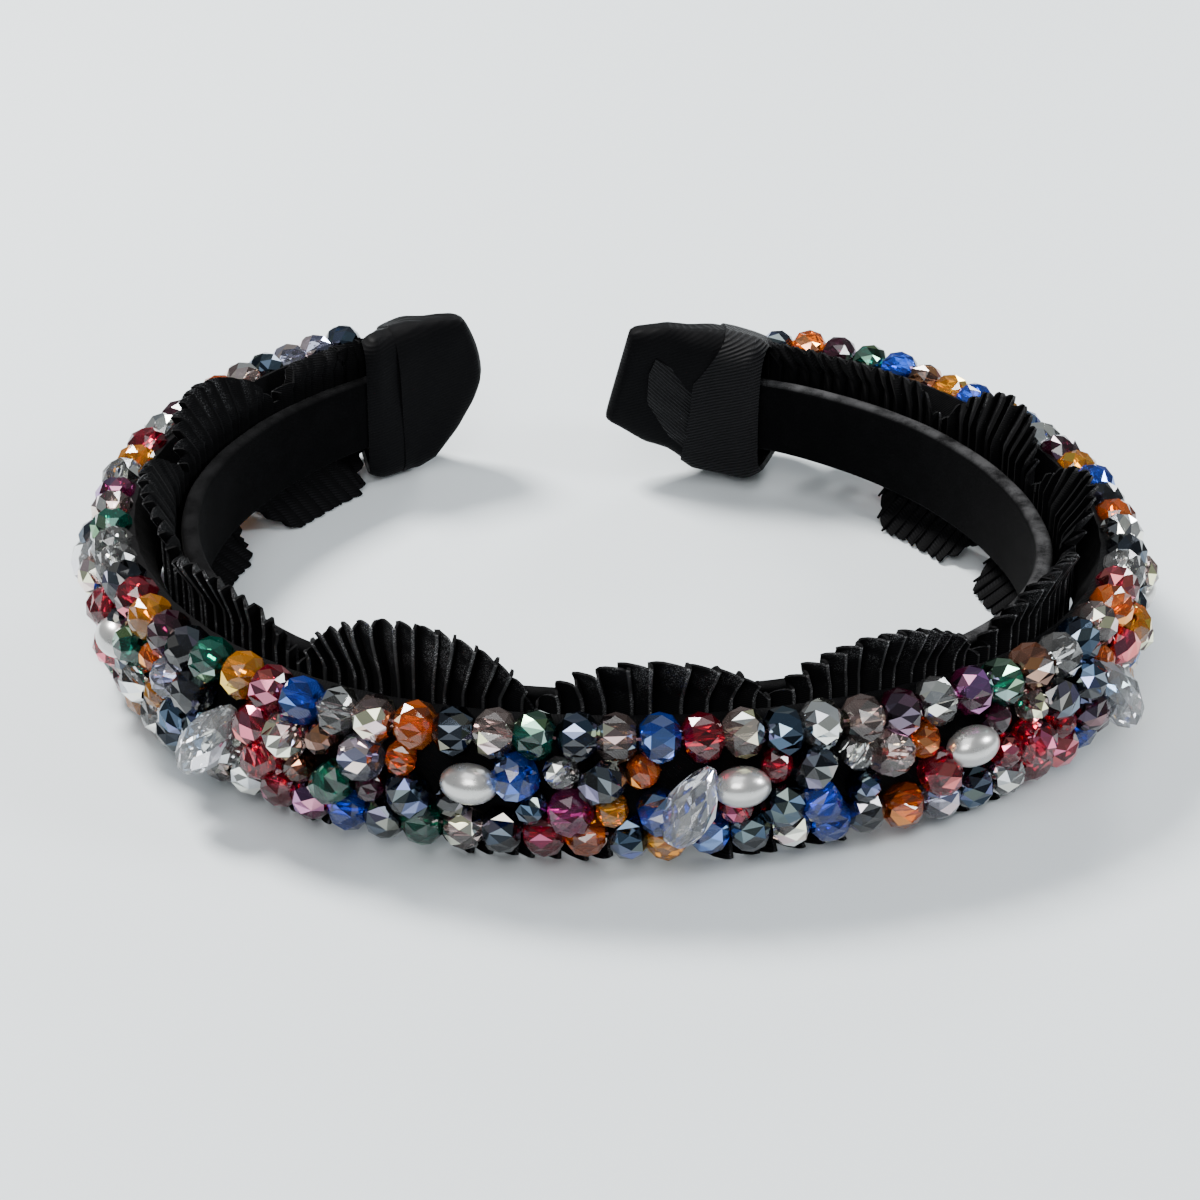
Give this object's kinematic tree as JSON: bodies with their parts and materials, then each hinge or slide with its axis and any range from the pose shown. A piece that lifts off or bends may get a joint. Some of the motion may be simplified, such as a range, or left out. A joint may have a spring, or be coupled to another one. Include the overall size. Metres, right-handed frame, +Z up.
{
  "type": "beaded headband",
  "caption": "Open padded headband with a scalloped pleated ribbon, rows of faceted glass beads, oval pearls and glass drops, lying on its edge.",
  "frame": {"origin": "middle of the footprint, on the surface that the band lies on", "axes": "+Z up out of that surface, +X to the wearer's other side across the two ends, +Y from the front of the band towards its open ends"},
  "size_m": [0.1566, 0.1314, 0.0279],
  "materials": {
    "black_velvet": "black velvet cover with a short dull pile, slightly worn along its edges",
    "black_satin": "black accordion pleated satin ribbon and the black cloth of the padded strip",
    "black_ribbon": "black ribbed ribbon wound round the ends",
    "bead_glass": "faceted glass rondelles in mixed jewel colours, many with a dark or rainbow coat",
    "clear_glass": "clear faceted glass",
    "pearl_coat": "silver white pearl coat with a soft shine"
  },
  "bodies": {
    "root": {"inner_band": "black_velvet", "pleated_ribbon": "black_satin", "beaded_strip_left": "bead_glass", "beaded_strip_right": "bead_glass", "end_sleeve_left": "black_ribbon", "end_sleeve_right": "black_ribbon", "pearl_1": "pearl_coat", "pearl_2": "pearl_coat", "pearl_3": "pearl_coat", "pearl_4": "pearl_coat", "pearl_5": "pearl_coat", "pearl_6": "pearl_coat", "pearl_7": "pearl_coat", "glass_drop_1": "clear_glass", "glass_drop_2": "clear_glass", "glass_drop_3": "clear_glass", "glass_drop_4": "clear_glass", "glass_drop_5": "clear_glass", "glass_drop_6": "clear_glass"}
  },
  "joints": []
}
